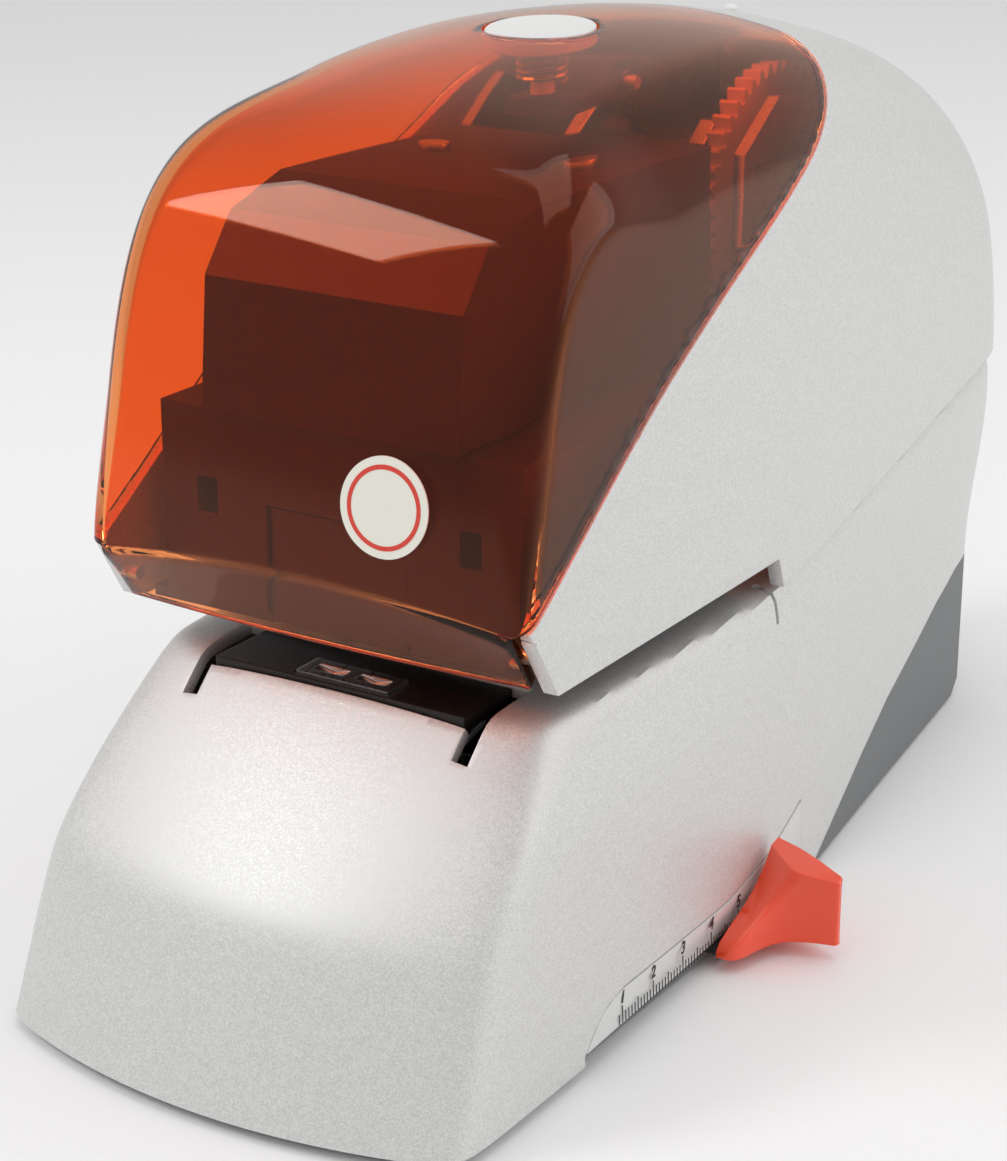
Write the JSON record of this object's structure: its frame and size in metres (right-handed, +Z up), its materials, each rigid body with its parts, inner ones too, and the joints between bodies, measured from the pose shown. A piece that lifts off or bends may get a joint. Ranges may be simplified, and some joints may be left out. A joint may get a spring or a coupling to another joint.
{
  "type": "electric stapler",
  "caption": "Desktop electric stapler: wedge base with an adjustable paper stop under a fixed head with a hinged clear cover over its gear-driven stapling arm.",
  "frame": {"origin": "on the table, on the centre plane, under the staple line; it lies on the front foot", "axes": "+Z up, -Y towards the user (front, where paper goes in), +X the side with the ruler and its knob"},
  "size_m": [0.1066, 0.2357, 0.1543],
  "materials": {
    "silver_shell": "fine metallic silver lacquer on moulded plastic",
    "dark_chassis": "fine texture, dark grey",
    "rubber": "matt black",
    "ruler": "satin light grey with printed ticks",
    "steel": "brushed",
    "blackened_steel": "blackened, rough",
    "brass": "turned",
    "nylon": "natural nylon",
    "board": "green laminate",
    "winding": "varnished",
    "black_plastic": "fine texture",
    "mechanism_plastic": "fine texture, near black",
    "orange_knob": "satin gloss orange-red",
    "clear_orange": "clear orange-red polycarbonate",
    "white_plastic": "satin white",
    "label": "printed film",
    "spring_steel": "drawn wire"
  },
  "bodies": {
    "base": {"base_shell": "silver_shell", "base_tray": "dark_chassis", "front_foot": "rubber", "rear_feet": "rubber", "ruler_strip": "ruler", "anvil_block": "blackened_steel", "anvil_die": "steel", "anvil_post": "steel", "frame_left": "steel", "frame_right": "steel", "frame_spacers": "steel", "arm_pivot_pin": "steel", "motor": "steel", "motor_bracket": "steel", "idler_axle": "steel", "crank_bearing": "brass", "circuit_board": "board", "transformer": "winding", "power_inlet": "black_plastic", "switch_frame": "black_plastic", "head_base": "mechanism_plastic", "head_block": "mechanism_plastic", "side_shields": "mechanism_plastic", "cassette": "mechanism_plastic", "cassette_lid": "mechanism_plastic", "staple_strip": "steel", "staple_pusher": "steel", "return_spring": "spring_steel", "spring_seat": "steel", "trigger_switch": "black_plastic", "upper_housing": "silver_shell", "indicator_light": "white_plastic", "latch_catch": "black_plastic", "tray_screws": "steel", "board_screws": "steel", "frame_screws": "steel", "block_screws": "steel"},
    "cover": {"front_cover": "clear_orange", "hinge_pins": "steel", "label_disc": "label", "button_spring": "spring_steel", "latch_pin": "steel"},
    "button": {"release_button": "white_plastic"},
    "latch": {"latch_hook": "mechanism_plastic"},
    "depth_stop": {"stop_carriage": "black_plastic", "paper_stop": "black_plastic", "depth_knob": "orange_knob"},
    "trigger": {"trigger_lever": "nylon"},
    "driver": {"driver_arm": "steel", "driver_blade": "steel", "staple_former": "steel"},
    "pinion": {"motor_pinion": "brass"},
    "idler": {"idler_gear": "nylon"},
    "crank": {"crank_gear": "nylon"},
    "rocker": {"power_switch": "black_plastic"}
  },
  "joints": [
    {"name": "cover_hinge", "type": "hinge", "parent": "base", "child": "cover", "pos_m": [0, -0.0075, 0.072], "axis": [1, 0, 0], "range_deg": [0, 60]},
    {"name": "button_press", "type": "slide", "parent": "cover", "child": "button", "axis": [0, 0.0785, -0.9969], "range_m": [0, 0.0025], "stiffness_N_per_m": 400, "springref_m": -0.002, "deforming": ["button_spring"]},
    {"name": "latch_tilt", "type": "hinge", "parent": "cover", "child": "latch", "pos_m": [0, 0.074, 0.143], "axis": [1, 0, 0], "range_deg": [0, 8.5], "stiffness_Nm_per_rad": 0.01, "springref_deg": -11.46},
    {"name": "stop_slide", "type": "slide", "parent": "base", "child": "depth_stop", "axis": [0, 1, 0], "range_m": [-0.031, 0.019]},
    {"name": "trigger_swing", "type": "hinge", "parent": "base", "child": "trigger", "pos_m": [0.018, 0.022, 0.072], "axis": [1, 0, 0], "range_deg": [0, 22], "stiffness_Nm_per_rad": 0.002, "springref_deg": -17.19},
    {"name": "driver_pivot", "type": "hinge", "parent": "base", "child": "driver", "pos_m": [0, 0.15, 0.09], "axis": [1, 0, 0], "range_deg": [0, 5.5], "stiffness_Nm_per_rad": 0.6, "springref_deg": -28.65, "deforming": ["return_spring"]},
    {"name": "crank_spin", "type": "hinge", "parent": "base", "child": "crank", "pos_m": [0, 0.1, 0.12], "axis": [1, 0, 0], "continuous": true},
    {"name": "idler_spin", "type": "hinge", "parent": "base", "child": "idler", "pos_m": [0, 0.12678, 0.11025], "axis": [1, 0, 0], "continuous": true},
    {"name": "pinion_spin", "type": "hinge", "parent": "base", "child": "pinion", "pos_m": [0, 0.14558, 0.11709], "axis": [1, 0, 0], "continuous": true},
    {"name": "rocker_tilt", "type": "hinge", "parent": "base", "child": "rocker", "pos_m": [0.012, 0.185, 0.042], "axis": [1, 0, 0], "range_deg": [0, 18]}
  ],
  "couplings": [
    {"joint": "latch_tilt", "follows": "button_press", "rad_per_m": 58.8},
    {"joint": "idler_spin", "follows": "crank_spin", "ratio": -3.75},
    {"joint": "pinion_spin", "follows": "crank_spin", "ratio": 15}
  ]
}
